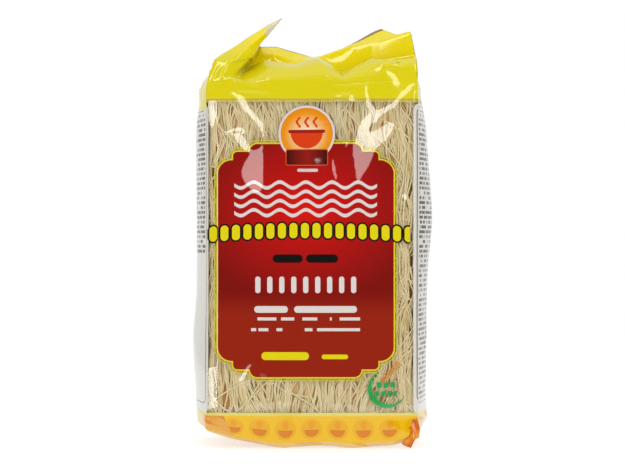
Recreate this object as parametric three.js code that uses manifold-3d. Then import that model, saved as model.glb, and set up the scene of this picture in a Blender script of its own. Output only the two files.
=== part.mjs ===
// A sealed, gusseted film bag holding a pressed block of dried rice vermicelli.
// It stands upright on the squared bottom of the block. Above the block the film closes to a roof,
// and the flat seal strip on top is buckled: its left end is folded forward into a pointed ear,
// its middle leans back, and its right end is folded over a ridge.
// Millimetres, +Z up, +X to the right of the front panel, -Y out of the front panel.
// The origin is on the floor, under the middle of the bag's bounding box.
import * as THREE from "three";
import { mergeVertices } from "three/addons/utils/BufferGeometryUtils.js";
import Module from "manifold-3d";

// ---- driving dimensions ----
const frontWidth = 138; // between the two front creases
const blockDepth = 62; // between the front and the back creases
const faceCrown = 2.2; // how far the front and back panels stand proud of their creases
const gussetBulge = 9.5; // how far the opened side gussets stand out at mid-depth
const shoulderHeight = 238; // top of the block, where the film turns in towards the seal
const closingHeight = 34; // over which the sides draw in below the shoulder
const openAtShoulder = 0.25; // share of the gussets' bulge that is left at the shoulder
const edgeRadius = 18; // height over which the bottom edges round under
const edgeInset = 7; // how far they draw in at the foot
const leftCornerFold = 11; // how much further the left bottom corner draws in
const gussetTuck = 12; // how far the side gussets fold in under the seal
const filmFold = 2.4; // thickness of the folded seal strip, front film to back film
const bagColour = 0xe6d714;

const halfWidth = frontWidth / 2;
const halfDepth = blockDepth / 2;

// ---- sections of the filled body ----
const panelSteps = 16; // facets across a panel
const sideSteps = 10; // facets across a side, an even number so that one lies on the gusset crease

// The block is uneven, so the sides swell and draw in over the height by a few millimetres: a short
// wave that is opposite on the two sides, and a long one that is nearly alike on both.
const shortWave = { size: 1.3, length: 19, start: 1.1 };
const longWave = { size: 1.5, length: 29, apart: 0.6 };
const panelWave = { size: 0.6, length: 23 }; // in how far the front and back panels stand out
const sideSwell = (height, side) =>
  side * shortWave.size * Math.sin(height / shortWave.length + shortWave.start) +
  longWave.size * Math.cos(height / longWave.length - longWave.apart * side);

// Where the film runs at one height: one closed walk around the bag, seen from above anticlockwise.
// half holds the half width and half depth of the creases, and bulge how far the sides stand out.
function sectionWalk(half, crown, bulge) {
  const walk = [];
  const panel = (side) => {
    for (let i = 0; i < panelSteps; i++) {
      const share = i / panelSteps;
      walk.push([side * half.x * (2 * share - 1), -side * (half.y + crown * Math.sin(Math.PI * share))]);
    }
  };
  const gusset = (side) => {
    for (let i = 0; i < sideSteps; i++) {
      const across = (2 * i) / sideSteps - 1;
      walk.push([side * (half.x + bulge(side) * (1 - Math.abs(across) ** 1.5)), side * half.y * across]);
    }
  };
  panel(1);
  gusset(1);
  panel(-1);
  gusset(-1);
  return walk;
}

const ring = (walk, heightOf) => walk.map(([x, y]) => new THREE.Vector3(x, y, heightOf(x, y)));

// The flat foot, then the rounded bottom edge. The left bottom corner is folded up further than the right.
function bottomRings() {
  const steps = 5;
  return Array.from({ length: steps }, (_, k) => {
    const turn = (k / (steps - 1)) * (Math.PI / 2);
    const inset = 1 - Math.sin(turn);
    const walk = sectionWalk(
      { x: halfWidth - edgeInset * inset, y: halfDepth - edgeInset * inset },
      faceCrown * (1 - inset),
      (side) => (gussetBulge + sideSwell(edgeRadius, side)) * (1 - inset),
    );
    const leftFold = leftCornerFold * inset;
    const moved = walk.map(([x, y]) => [x < 0 ? x * (1 - leftFold / halfWidth) : x, y]);
    return ring(moved, () => edgeRadius * (1 - Math.cos(turn)));
  });
}

function bodyRings() {
  const rowPitch = 11;
  const rows = Math.round((shoulderHeight - edgeRadius) / rowPitch);
  return Array.from({ length: rows }, (_, k) => {
    const height = edgeRadius + ((k + 1) / rows) * (shoulderHeight - edgeRadius);
    const closing = THREE.MathUtils.smoothstep(height, shoulderHeight - closingHeight, shoulderHeight);
    const crown = faceCrown * (1 - closing) + panelWave.size * Math.sin(height / panelWave.length);
    const bulge = (side) => (gussetBulge + sideSwell(height, side)) * (1 - (1 - openAtShoulder) * closing);
    return ring(sectionWalk({ x: halfWidth, y: halfDepth }, crown, bulge), () => height);
  });
}

// ---- the seal: curves across the bag, from left to right ----
const curve = (...points) =>
  new THREE.CatmullRomCurve3(points.map((p) => new THREE.Vector3(...p)), false, "centripetal");

// The line where the front and back films meet, at the foot of the seal strip.
const roofRidge = curve(
  [-halfWidth + 1, 0, 252],
  [-46, -3, 252],
  [-32, -3, 256],
  [-15, -2, 254],
  [0, 0, 257],
  [15, -2, 247],
  [38, -2, 256],
  [53, -2, 257],
  [halfWidth - 1, -1, 256],
);

// Rings from the shoulder up to the roof ridge, where the section has closed to the folded film.
function roofRings() {
  const steps = 6;
  return Array.from({ length: steps }, (_, k) => {
    const rise = (k + 1) / steps;
    const walk = sectionWalk({ x: halfWidth, y: halfDepth }, 0, (side) => {
      const open = (gussetBulge + sideSwell(shoulderHeight, side)) * openAtShoulder;
      return open + (-gussetTuck - open) * rise;
    });
    return walk.map(([x, y]) => {
      const across = THREE.MathUtils.clamp(0.5 + x / (2 * halfWidth), 0, 1);
      const ridge = roofRidge.getPoint(across);
      const depth = halfDepth + (filmFold / 2 - halfDepth) * rise ** 0.9;
      return new THREE.Vector3(
        x + (ridge.x - halfWidth * (2 * across - 1)) * rise,
        (y / halfDepth) * depth + ridge.y * rise,
        shoulderHeight + (ridge.z - shoulderHeight) * Math.sin((rise * Math.PI) / 2),
      );
    });
  });
}

// A strip of folded film between guide curves, given from its foot to its free edge.
const sealStrip = {
  foot: curve(
    [-50, -4, 248], [-32, -3, 251], [-15, -2, 250], [0, 0, 252], [21, -2, 244], [40, -2, 251], [67, -1, 251],
  ),
  bend: curve(
    [-46, -8, 256], [-30, -2, 262], [-12, 5, 259], [0, 8, 259], [22, 4, 262], [44, -3, 269], [66, -8, 275],
  ),
  edge: curve(
    [-38, -9, 267], [-26, 3, 267], [-9, 12, 264], [0, 15, 261], [20, 12, 266], [33, 8, 274], [45, 5, 280],
  ),
};
const frontEar = {
  foot: curve([-68, -8, 250], [-64, -17, 246], [-58, -24, 242]),
  bend: curve([-51, -15, 268], [-48, -18, 263], [-44, -19, 256]),
  edge: curve([-20.5, -20, 285], [-29, -19, 278], [-38, -15, 267]),
};
const cornerTab = {
  foot: curve([71, -19, 22], [70, -25, 21], [67, -29, 20]),
  bend: curve([71, -21, 12], [68, -27, 11], [64, -31, 10]),
  edge: curve([68, -20, 4], [64, -25, 3], [57, -29, 2]),
};

// ---- closed meshes ----
function closedMesh(vertices, faces) {
  const geometry = new THREE.BufferGeometry().setFromPoints(vertices);
  geometry.setIndex(faces);
  return geometry;
}

// Skins a stack of equal rings, bottom to top, and closes both ends with a fan to the ring's middle.
function loft(rings) {
  const around = rings[0].length;
  const vertices = rings.flat();
  const faces = [];
  const quad = (a, b, c, d) => faces.push(a, b, c, a, c, d);
  for (let k = 0; k + 1 < rings.length; k++) {
    for (let i = 0; i < around; i++) {
      const next = (i + 1) % around;
      quad(k * around + i, k * around + next, (k + 1) * around + next, (k + 1) * around + i);
    }
  }
  const cap = (ringIndex, upwards) => {
    const middle = new THREE.Vector3();
    rings[ringIndex].forEach((p) => middle.addScaledVector(p, 1 / around));
    const centre = vertices.push(middle) - 1;
    for (let i = 0; i < around; i++) {
      const a = ringIndex * around + i;
      const b = ringIndex * around + ((i + 1) % around);
      faces.push(...(upwards ? [a, b, centre] : [b, a, centre]));
    }
  };
  cap(0, false);
  cap(rings.length - 1, true);
  return closedMesh(vertices, faces);
}

// A folded strip as a thin closed slab: each section is a flat loop around the strip's middle surface.
function slab({ foot, bend, edge }, columns, rowsPerHalf) {
  const middle = (across, up) => {
    const [low, high, share] = up < 0.5 ? [foot, bend, up * 2] : [bend, edge, up * 2 - 1];
    return low.getPoint(across).lerp(high.getPoint(across), share);
  };
  const normal = (across, up) => {
    const step = 0.02;
    const along = middle(Math.min(across + step, 1), up).sub(middle(Math.max(across - step, 0), up));
    const rise = middle(across, Math.min(up + step, 1)).sub(middle(across, Math.max(up - step, 0)));
    return along.cross(rise).normalize();
  };
  const rows = rowsPerHalf * 2;
  const rings = Array.from({ length: columns + 1 }, (_, i) => {
    const side = (sign) =>
      Array.from({ length: rows + 1 }, (_, j) => {
        const [across, up] = [i / columns, j / rows];
        return middle(across, up).addScaledVector(normal(across, up), (sign * filmFold) / 2);
      });
    return [...side(-1), ...side(1).reverse()];
  });
  return loft(rings);
}

// ---- one solid ----
const wasm = await Module();
wasm.setup();

function solidOf(geometry) {
  const merged = mergeVertices(geometry, 1e-4);
  return new wasm.Manifold(
    new wasm.Mesh({
      numProp: 3,
      vertProperties: merged.attributes.position.array,
      triVerts: new Uint32Array(merged.index.array),
    }),
  );
}

function geometryOf(solid) {
  const mesh = solid.getMesh();
  const geometry = new THREE.BufferGeometry();
  geometry.setAttribute("position", new THREE.BufferAttribute(mesh.vertProperties, 3));
  geometry.setIndex(new THREE.BufferAttribute(mesh.triVerts, 1));
  geometry.computeVertexNormals();
  return geometry;
}

const filledBody = solidOf(loft([...bottomRings(), ...bodyRings(), ...roofRings()]));
const folds = [slab(sealStrip, 36, 4), slab(frontEar, 12, 5), slab(cornerTab, 8, 3)].map(solidOf);
const joined = folds.reduce((whole, fold) => whole.add(fold), filledBody);

// Where two surfaces only graze each other, the join leaves specks, so the largest body is the bag.
const sealedBag = joined.decompose().reduce((a, b) => (a.volume() > b.volume() ? a : b));

const bag = new THREE.Mesh(
  geometryOf(sealedBag),
  new THREE.MeshStandardMaterial({ color: bagColour, roughness: 0.25, metalness: 0 }),
);
bag.name = "vermicelli_bag";

const part = new THREE.Group();
part.add(bag);

export default part;
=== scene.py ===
"""A sealed, gusseted film bag of dried rice vermicelli, standing on the squared bottom of its block.

The bag is put together here as it is packed: the pressed block, its strands, the film around them, the
print on the film, the fold at its corner, and then the studio that it stands in. Sizes are in
millimetres and mesh places in metres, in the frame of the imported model: +Z up, -Y out of the front.
"""

import math
import random

import bmesh
import bpy
import numpy as np
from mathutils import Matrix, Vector
from mathutils.geometry import delaunay_2d_cdt


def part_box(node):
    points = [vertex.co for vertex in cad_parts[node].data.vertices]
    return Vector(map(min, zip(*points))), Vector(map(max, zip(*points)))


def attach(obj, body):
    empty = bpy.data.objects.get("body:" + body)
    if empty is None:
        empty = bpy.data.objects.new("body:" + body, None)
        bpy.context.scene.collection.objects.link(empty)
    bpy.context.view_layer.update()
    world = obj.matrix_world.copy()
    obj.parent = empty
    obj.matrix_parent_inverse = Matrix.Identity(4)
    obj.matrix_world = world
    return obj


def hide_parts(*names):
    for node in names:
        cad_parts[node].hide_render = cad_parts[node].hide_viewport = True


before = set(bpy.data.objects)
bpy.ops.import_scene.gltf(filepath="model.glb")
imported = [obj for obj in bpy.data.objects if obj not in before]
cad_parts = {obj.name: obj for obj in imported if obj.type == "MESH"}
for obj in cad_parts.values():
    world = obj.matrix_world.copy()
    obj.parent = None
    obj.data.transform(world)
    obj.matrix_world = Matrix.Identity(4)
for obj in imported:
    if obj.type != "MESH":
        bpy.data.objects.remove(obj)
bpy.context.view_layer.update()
bag_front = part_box("vermicelli_bag")[0][1]


# ------------------------------------------------------------------------------------------------
# The block core: about 400 g of fine rice noodles pressed into a brick while they were damp, then
# dried hard. Behind the outer strands only a dull tan mass of more strands shows through the gaps; its
# tan, darker than the strands' own, is painted shade for the depth between them.
# ------------------------------------------------------------------------------------------------

MM = 0.001
BLOCK_HALF_WIDTH = 68.6
BLOCK_HALF_DEPTH = 29.5
BLOCK_BOTTOM = 6.0
BLOCK_TOP = 238.0
BLOCK_EDGE = 9.0  # radius of its rounded top and bottom edges
STRAND_DEPTH = 2.3  # how deep the loose outer strands lie over the core
STRAND_PITCH = 1.6

# Both core tones are painted shade: darker than the strands, for the shade deep between them.
CORE_TAN = "#D9AF6C"
CORE_SHADE = "#B58443"


def linear(hex_colour):
    """An sRGB hex colour as the linear RGBA that the shaders take."""
    parts = [int(hex_colour[i : i + 2], 16) / 255 for i in (1, 3, 5)]
    return [c / 12.92 if c <= 0.04045 else ((c + 0.055) / 1.055) ** 2.4 for c in parts] + [1.0]


def node(tree, kind, settings=None, **links):
    """Adds one node. settings are its properties, its input values by socket name or number, or a
    ramp's stops. A link comes from a socket, or from a node's first output, and i0 is input 0."""
    new = tree.nodes.new("ShaderNode" + kind)
    for name, value in (settings or {}).items():
        if name == "stops":
            elements = new.color_ramp.elements
            while len(elements) < len(value):
                elements.new(0.5)
            for element, (position, colour) in zip(elements, value):
                element.position = position
                element.color = linear(colour)
        elif isinstance(name, str) and hasattr(new, name):
            setattr(new, name, value)
        else:
            new.inputs[name].default_value = value
    for name, source in links.items():
        key = int(name[1:]) if name[0] == "i" and name[1:].isdigit() else name.replace("_", " ")
        tree.links.new(getattr(source, "outputs", [source])[0], new.inputs[key])
    return new


def new_material(name):
    material = bpy.data.materials.new(name)
    material.use_nodes = True
    material.node_tree.nodes.clear()
    return material, material.node_tree


def show(mesh, name, material):
    """Puts a finished mesh into the scene as one smooth piece."""
    mesh.name = name
    mesh.materials.append(material)
    mesh.shade_smooth()
    piece = bpy.data.objects.new(name, mesh)
    bpy.context.collection.objects.link(piece)
    return piece


def pressed_noodle_core():
    """Dried rice paste in deep shade, coloured darker than the strands as painted shade: dull, rough,
    streaked along the strands.
    """
    material, tree = new_material("pressed_rice_noodle_core")
    place = node(tree, "TexCoord").outputs["Object"]
    drawn_out = node(tree, "Mapping", {"Scale": (1, 1, 0.06)}, Vector=place)
    grain = {"Scale": 1 / (2 * STRAND_PITCH * MM), "Detail": 3.0, "Roughness": 0.6}
    streaks = node(tree, "TexNoise", grain, Vector=drawn_out)
    tones = node(tree, "ValToRGB", {"stops": ((0.38, CORE_SHADE), (0.62, CORE_TAN))}, Fac=streaks)
    relief = node(tree, "Bump", {"Strength": 0.8, "Distance": 0.8 * MM}, Height=streaks)
    dull = {"Roughness": 0.65, "IOR": 1.5}
    shader = node(tree, "BsdfPrincipled", dull, Base_Color=tones, Normal=relief)
    node(tree, "OutputMaterial", Surface=shader)
    return material


core_mesh = bpy.data.meshes.new("core")
shape = bmesh.new()
bmesh.ops.create_cube(shape, size=1)
core_size = [
    2 * (BLOCK_HALF_WIDTH - STRAND_DEPTH) * MM,
    2 * (BLOCK_HALF_DEPTH - STRAND_DEPTH) * MM,
    (BLOCK_TOP - BLOCK_BOTTOM - 2 * STRAND_DEPTH) * MM,
]
bmesh.ops.scale(shape, vec=core_size, verts=shape.verts)
bmesh.ops.translate(shape, vec=(0, 0, (BLOCK_TOP + BLOCK_BOTTOM) / 2 * MM), verts=shape.verts)
rounding = {"offset": BLOCK_EDGE * 0.8 * MM, "segments": 4, "profile": 0.5}
bmesh.ops.bevel(shape, geom=shape.edges[:], affect="EDGES", material=-1, **rounding)
shape.to_mesh(core_mesh)
shape.free()
core = show(core_mesh, "noodle_core", pressed_noodle_core())
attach(core, "root")
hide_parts("vermicelli_bag")


# ------------------------------------------------------------------------------------------------
# The strands: extruded rice dough about a millimetre thick, hung, folded to the block's length and
# pressed. They run mostly up the block, wander and cross in flat swaths, and turn in at both ends.
# ------------------------------------------------------------------------------------------------

STRAND_THICKNESS = 1.25
CORNER_RADIUS = 2.6  # of the block's upright edges
BLOCK_GIRTH = 4 * (BLOCK_HALF_WIDTH + BLOCK_HALF_DEPTH)
FOOT_FOLD_HEIGHT = 22.0  # over which the lower corners' lift runs out
LEFT_CORNER_LIFT = 10.6
RIGHT_CORNER_LIFT = 6.0
FOOT_RIPPLE = 0.7
BLOCK_LIFT_SHARE = 0.9  # the block's corners are crushed this much of the way that the film is lifted
LEFT_FACET = -62.5  # where the front panel begins to turn back
RIGHT_FACET = 66.8
BUNDLE_SWAYS = ((80, 2.4), (34, 1.3), (17, 0.5))  # longest wave and most reach of each
FULL_TURN = 2 * math.pi

RICE_PALE = "#F4E9BE"
RICE_CREAM = "#EFDEAA"
RICE_HONEY = "#D6B87A"
RICE_GLOW = "#FFDFA0"


def dried_rice_dough():
    """Extruded rice starch, dried: satin, slightly see-through, each strand with its own cream."""
    material, tree = new_material("dried_rice_dough_extruded")
    own = node(tree, "Attribute", {"attribute_name": "strand"}).outputs["Fac"]
    place = node(tree, "TexCoord").outputs["Object"]
    cloudy = node(tree, "TexNoise", {"Scale": 1 / (9 * MM), "Detail": 2.0}, Vector=place)
    share = node(tree, "Math", {"operation": "MULTIPLY", 1: 0.45}, i0=cloudy)
    mixed = node(tree, "Math", {"operation": "MULTIPLY_ADD", 1: 0.55}, i0=own, i2=share)
    stops = ((0.1, RICE_HONEY), (0.4, RICE_CREAM), (0.8, RICE_PALE))
    tones = node(tree, "ValToRGB", {"stops": stops}, Fac=mixed)
    shader = node(tree, "BsdfPrincipled", {"Roughness": 0.42, "IOR": 1.5}, Base_Color=tones)
    let_through = node(tree, "BsdfTranslucent", {"Color": linear(RICE_GLOW)})
    dough = node(tree, "MixShader", {0: 0.22}, i1=shader, i2=let_through)
    node(tree, "OutputMaterial", Surface=dough)
    return material


rice_dough = dried_rice_dough()


def eased(value):
    """From 0 to 1 with a soft start and end."""
    value = np.clip(value, 0, 1)
    return value * value * (3 - 2 * value)


def block_ring(around, inset):
    """A point on the block's outline, a share of the way around it and moved in by inset. The corners
    are round."""
    half_x = BLOCK_HALF_WIDTH - inset
    half_y = BLOCK_HALF_DEPTH - inset
    corner = np.minimum(CORNER_RADIUS, np.minimum(half_x, half_y))
    arc = corner * math.pi / 2
    walked = (around % 1.0) * (4 * (half_x + half_y - 2 * corner) + 4 * arc)
    x = np.zeros_like(walked)
    y = np.zeros_like(walked)
    start = np.zeros_like(walked)
    # The front from left to right, the right side, the back and the left side, each with its corner.
    for (ahead_x, ahead_y), (out_x, out_y) in (
        ((1, 0), (0, -1)),
        ((0, 1), (1, 0)),
        ((-1, 0), (0, 1)),
        ((0, -1), (-1, 0)),
    ):
        length = 2 * (half_x * abs(ahead_x) + half_y * abs(ahead_y) - corner)
        on_flat = (walked >= start) & (walked < start + length)
        along = walked - start - length / 2
        x = np.where(on_flat, ahead_x * along + out_x * half_x, x)
        y = np.where(on_flat, ahead_y * along + out_y * half_y, y)
        start = start + length
        on_arc = (walked >= start) & (walked < start + arc)
        turn = (walked - start) / corner
        out, ahead = corner * np.cos(turn), corner * np.sin(turn)
        round_x = (ahead_x + out_x) * (half_x - corner) + out_x * out + ahead_x * ahead
        round_y = (ahead_y + out_y) * (half_y - corner) + out_y * out + ahead_y * ahead
        x = np.where(on_arc, round_x, x)
        y = np.where(on_arc, round_y, y)
        start = start + arc
    return x, y


def corner_lift(x, height):
    """How far the lower corners stand off the table: the left one is drawn up into the gusset, the
    right one is folded, and between them the film lies in slight waves."""
    left = LEFT_CORNER_LIFT * np.clip((-x - 27) / 41, 0, 1.1) ** 1.4
    right = RIGHT_CORNER_LIFT * np.clip((x - 44) / 20, 0, 1.3) ** 1.8
    ripple = FOOT_RIPPLE * (1 + np.sin(x / 7.5 + 1)) * eased((60 - np.abs(x)) / 30)
    return (left + right + ripple) * np.clip(1 - height / FOOT_FOLD_HEIGHT, 0, 1)


def corner_turn(u, w):
    """How far the front panel turns back before its creases: a wide facet on the left, a narrow one on
    the right. The left one lies flatter at both ends, where the film is pulled across the corner."""
    standing = eased((w - 8) / 20) * eased((238 - w) / 14)
    steep = eased((w - 50) / 14) * eased((222 - w) / 18)
    left = np.maximum(LEFT_FACET - u, 0) * (0.1 + 0.5 * steep)
    right = np.maximum(u - RIGHT_FACET, 0) * 0.6
    return (left + right) * standing


def on_block(around, climb, depth):
    """A place on the block: around 0 to 1 from the left end of the front, climb up it in millimetres,
    depth below its surface. Below and above the straight faces the path turns in under and over."""
    straight_low = BLOCK_BOTTOM + BLOCK_EDGE
    straight_high = BLOCK_TOP - BLOCK_EDGE
    quarter = BLOCK_EDGE * math.pi / 2
    inset = depth.copy()
    height = climb.copy()
    for edge, sign in ((straight_low, -1), (straight_high, 1)):
        past = sign * (climb - edge)
        turn = np.clip(past / BLOCK_EDGE, 0, math.pi / 2)
        radius = BLOCK_EDGE - depth
        turned = past > 0
        over = np.maximum(past - quarter, 0)
        inset = np.where(turned, BLOCK_EDGE - radius * np.cos(turn) + over, inset)
        height = np.where(turned, edge + sign * radius * np.sin(turn), height)
    x, y = block_ring(around, inset)
    y = y + corner_turn(x, height) * np.clip(-y / BLOCK_HALF_DEPTH, 0, 1)
    lifted = height + BLOCK_LIFT_SHARE * corner_lift(x, height - BLOCK_BOTTOM)
    return np.stack([x, y, lifted], axis=-1)


def wander(rng, waves, longest):
    """A smooth wandering function of two directions, made of a few slow waves."""
    terms = [
        (
            rng.uniform(0.4, 1.0),
            rng.integers(1, 9) * FULL_TURN,
            FULL_TURN / (longest * rng.uniform(0.35, 1.0)),
            rng.uniform(0, FULL_TURN),
        )
        for _ in range(waves)
    ]
    most = sum(term[0] for term in terms)

    def value(around, climb):
        waves = [
            strength * np.sin(turns * around + rate * climb + start) for strength, turns, rate, start in terms
        ]
        return sum(waves) / most

    return value


def bundle(name, paths, tones, thickness):
    """Skins a list of strand paths as thin four-sided strings and joins them into one piece."""
    curve = bpy.data.curves.new(name, "CURVE")
    curve.dimensions = "3D"
    curve.bevel_depth = thickness / 2 * MM
    curve.bevel_resolution = 0
    for path in paths:
        string = curve.splines.new("POLY")
        string.points.add(len(path) - 1)
        flat = np.ones((len(path), 4))
        flat[:, :3] = path * MM
        string.points.foreach_set("co", flat.ravel())
    holder = bpy.data.objects.new(name, curve)
    bpy.context.collection.objects.link(holder)
    bpy.context.view_layer.update()
    mesh = bpy.data.meshes.new_from_object(holder)
    bpy.data.objects.remove(holder)
    bpy.data.curves.remove(curve)
    own_tone = np.repeat(np.array(tones, dtype=np.float32), [len(path) * 4 for path in paths])
    mesh.attributes.new("strand", "FLOAT", "POINT").data.foreach_set("value", own_tone)
    shape = bmesh.new()
    shape.from_mesh(mesh)
    open_ends = [edge for edge in shape.edges if edge.is_boundary]
    bmesh.ops.holes_fill(shape, edges=open_ends, sides=4)
    shape.to_mesh(mesh)
    shape.free()
    mesh.materials.clear()
    piece = show(mesh, name, rice_dough)
    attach(piece, "root")
    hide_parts("vermicelli_bag")


def swaying(climb, wave, start):
    """From -1 to 1 and back for each wave up the block."""
    return np.sin(FULL_TURN * climb / wave + start)


def upright_layer(name, seed, bundles, together, depth, lean, steps):
    """One layer of long strands up the block. They were folded in wet, so a few of them stick together
    as a flat bundle, and the bundles sway apart and back, with lens-shaped gaps between them. together
    is the fewest and the most in a bundle, and lean how far the bundles drift aside."""
    rng = np.random.default_rng(seed)
    drift = wander(rng, 7, 150)
    paths = []
    tones = []
    for index in range(bundles):
        low = BLOCK_BOTTOM - rng.uniform(4, 16)
        high = BLOCK_TOP + rng.uniform(2, 16)
        climb = np.linspace(low, high, steps)
        middle = np.full(steps, (index + rng.uniform(-0.4, 0.4)) / bundles)
        sway = lean * drift(middle, climb) + rng.normal(0, 1.2)
        for longest, most in BUNDLE_SWAYS:
            wave = longest * rng.uniform(0.7, 1.2)
            reach = most * rng.uniform(0.4, 1)
            sway = sway + reach * swaying(climb, wave, rng.uniform(0, 6.3))
        rise = depth + 0.5 * swaying(climb, rng.uniform(28, 70), rng.uniform(0, 6.3))
        # A deeper layer takes a darker tone: painted shade for strands that lie under others.
        tone = rng.normal(0.6 - depth * 0.1, 0.16)
        count = rng.integers(together[0], together[1] + 1)
        for number in range(count):
            aside = (number - (count - 1) / 2) * STRAND_THICKNESS * rng.uniform(0.75, 1.0)
            aside = aside + 0.35 * swaying(climb, rng.uniform(22, 55), rng.uniform(0, 6.3))
            around = middle + (sway + aside) / BLOCK_GIRTH
            paths.append(on_block(around, climb, rise + rng.uniform(-0.25, 0.25)))
            tones.append(float(np.clip(tone + rng.normal(0, 0.1), 0, 1)))
    bundle(name, paths, tones, STRAND_THICKNESS)


upright_layer("noodle_strands_deep", 3, 100, (2, 3), 2.0, 9, 56)
upright_layer("noodle_strands_middle", 5, 100, (2, 3), 1.4, 12, 64)
upright_layer("noodle_strands_outer", 8, 96, (1, 4), 0.75, 15, 70)


def stray_layer(name, seed, count):
    """Strands that strayed while the block was folded: they cross the others at a slant or in arcs."""
    rng = np.random.default_rng(seed)
    paths = []
    tones = []
    for _ in range(count):
        length = rng.uniform(18, 80)
        points = int(length / 2.2) + 4
        heading = rng.normal(math.pi / 2, 0.55)
        curl = rng.normal(0, 0.014)
        steps = np.linspace(0, length, points)
        angle = heading + curl * (steps - length / 2) + 0.2 * np.sin(steps / rng.uniform(5, 12))
        stride = steps[1] - steps[0]
        across = np.cumsum(np.cos(angle)) * stride
        climb = np.cumsum(np.sin(angle)) * stride
        climb = np.clip(climb + rng.uniform(0, BLOCK_TOP - length * 0.6), 1, BLOCK_TOP - 1)
        around = rng.uniform(0, 1) + across / BLOCK_GIRTH
        lift = np.sin(np.linspace(0, math.pi, points)) ** 0.5
        depth = 1.7 - lift * rng.uniform(1.3, 1.9)
        paths.append(on_block(around, climb, depth))
        tones.append(float(np.clip(rng.normal(0.75, 0.15), 0, 1)))
    bundle(name, paths, tones, STRAND_THICKNESS * 0.95)


stray_layer("noodle_strands_stray", 13, 430)


# ------------------------------------------------------------------------------------------------
# The film bag: one gusseted tube of clear polypropylene about 0.05 mm thick, folded under the block
# like a parcel and crimped over it into a flat seal strip. Handling has buckled the strip: its left
# end stands forward as an ear, its middle leans back and its right end is bent over.
# ------------------------------------------------------------------------------------------------

HALF_PANEL = 69.0  # the tube's front and back panels are twice this wide
HALF_GUSSET = 35.0  # from a front or back crease to the crease down the middle of the side
HALF_DEPTH = 31.0
SIDE_BULGE = 10.5  # how far the opened gusset stands out at mid-depth
LEFT_SWELL = (2.6, 66, 24)  # what the uneven block adds: how much, at what height, over what height
RIGHT_SWELL = (4.0, 155, 38)
PANEL_CROWN = 1.2
FOLD_RADIUS = 5.0  # of the fold between panel and underside
SHOULDER = 240.0  # where the film leaves the block, measured up the panel
ROOF = 35.0  # film from the shoulder to the foot of the seal
SEAL = 22.0  # film from there to the crimped edge
LAYER_GAP = 0.5  # between the layers of the folded strip
CRIMP = 0.98  # the share of that gap which the crimping closes
GUSSET_LIFT = 0.6  # how far above the panels the gussets lie under the block
FOOT_LIFT = 0.25  # how far the outer film there stands off the table
BACK_HUMP = 3.5

UNDER = HALF_DEPTH - FOLD_RADIUS
WEB_LOW = FOLD_RADIUS - FOLD_RADIUS * math.pi / 2 - UNDER
SEAL_FOOT = SHOULDER + ROOF
WEB_HIGH = SEAL_FOOT + SEAL
WEB_HALF = 2 * HALF_PANEL + 2 * HALF_GUSSET

# Columns and rows of the flat web, closer together where it folds sharply.
creases = [0, HALF_PANEL, HALF_PANEL + HALF_GUSSET, HALF_PANEL + 2 * HALF_GUSSET, WEB_HALF]
column_marks = [-crease for crease in creases[:0:-1]] + creases
column_counts = [70, 14, 14, 70, 70, 14, 14, 70]
row_marks = [WEB_LOW, WEB_LOW + UNDER, FOLD_RADIUS, 66, 150, SHOULDER, SHOULDER + 22, SEAL_FOOT, WEB_HIGH]
row_counts = [8, 8, 56, 42, 90, 22, 12, 26]


def spaced(marks, counts):
    """Grid lines between marks, so many to each stretch."""
    stretches = [
        np.linspace(start, end, count, endpoint=False)
        for start, end, count in zip(marks, marks[1:], counts)
    ]
    return np.append(np.concatenate(stretches), marks[-1])


columns = spaced(column_marks, column_counts)
rows = spaced(row_marks, row_counts)

# The fold lines of the roof and the seal, from the left end of the strip to the right: share of the
# strip, then x, y, z. The points up to share 0.17 are the ear, which is folded forward.
SHOULDER_LINE = [
    (0.00, -68, -31, 240), (0.09, -62, -32, 240), (0.17, -56, -31, 240), (0.22, -47, -31, 240),
    (0.40, -14, -32, 240), (0.60, 14, -32.5, 240), (0.80, 41, -32, 240), (1.00, 69, -31, 240),
]
COLLAR_LINE = [
    (0.00, -65.5, -28, 254), (0.09, -56, -31, 250.5), (0.17, -48.5, -28, 248), (0.22, -47, -20, 246.5),
    (0.32, -30, -24, 250.5), (0.45, -9, -25, 250), (0.55, 5, -26, 251.5), (0.65, 20, -27, 243.5),
    (0.73, 30, -26, 249), (0.84, 46, -29, 252), (1.00, 68.5, -28, 252),
]
CREST_LINE = [
    (0.00, -58, -25, 259.5), (0.09, -50, -29, 256), (0.17, -42, -25, 254.5), (0.22, -44, -9, 250.5),
    (0.30, -32, -13, 256), (0.38, -20, -13, 255.5), (0.44, -12, -14, 253.8), (0.54, 3, -14, 257),
    (0.60, 13, -17, 252.5), (0.65, 20, -22, 245), (0.72, 30, -18, 252), (0.79, 39, -19, 256),
    (0.88, 51, -24, 254.5), (1.00, 68.6, -23, 256),
]
FOOT_LINE = [
    (0.00, -43.5, -20, 269), (0.09, -40, -24, 264.5), (0.17, -37.5, -20, 260.5), (0.22, -42, -3, 254),
    (0.30, -32, -2, 254), (0.44, -12, -2, 251.5), (0.54, 3, -2, 254), (0.60, 12, -2, 251),
    (0.65, 20, -3, 248), (0.72, 29, -3, 251), (0.80, 39, -4, 254), (1.00, 68.8, -10, 259),
]
BEND_LINE = [
    (0.00, -32.5, -16, 276.5), (0.09, -33.5, -20, 271), (0.17, -36, -15, 264.8), (0.22, -39, 2, 261),
    (0.33, -26, -3, 261), (0.42, -13, 2, 257.5), (0.52, 0, 4, 258), (0.60, 10, 2, 262),
    (0.70, 27, -2, 267.4), (0.84, 45, -6, 270), (1.00, 65.4, -11, 275.4),
]
TUCK_LINE = [
    (0.00, -29, -15, 279), (0.09, -32, -19, 271.8), (0.17, -35.5, -14, 265.8), (0.22, -38, 4, 263.5),
    (0.33, -26, 0, 263.5), (0.42, -13, 5, 259.6), (0.52, 0, 7, 258.6), (0.60, 9.5, 6, 261.4),
    (0.70, 24, 3, 266.3), (0.84, 40, 1, 269.2), (1.00, 57, -4, 273.6),
]
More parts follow.
